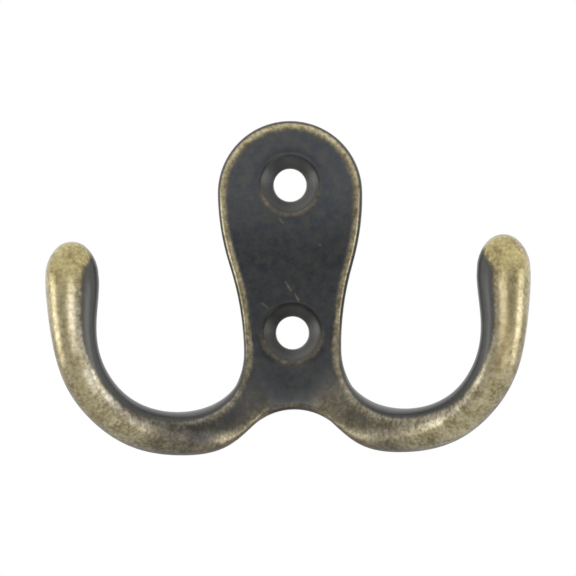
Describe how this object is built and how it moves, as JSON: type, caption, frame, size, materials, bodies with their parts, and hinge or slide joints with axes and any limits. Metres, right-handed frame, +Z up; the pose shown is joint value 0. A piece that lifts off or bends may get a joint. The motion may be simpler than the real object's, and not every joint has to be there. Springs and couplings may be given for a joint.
{
  "type": "double robe hook",
  "caption": "Wall hook with a flat tongue-shaped screw plate whose foot parts into upturned club-ended arms for hanging robes and coats, in a relieved antique brass finish.",
  "frame": {"origin": "on the wall plane, half-way between the two screw holes", "axes": "+X along the longest side, from the left arm to the right arm; +Y into the wall, out of the plate's back; +Z up, from the arms to the plate's head"},
  "size_m": [0.0702, 0.0258, 0.0503],
  "materials": {
    "antique_brass": "die casting plated in brass, darkened all over and then relieved, so that edges, arms and tips show brass and the flat face stays charcoal"
  },
  "bodies": {
    "root": {"double_hook": "antique_brass"}
  },
  "joints": []
}
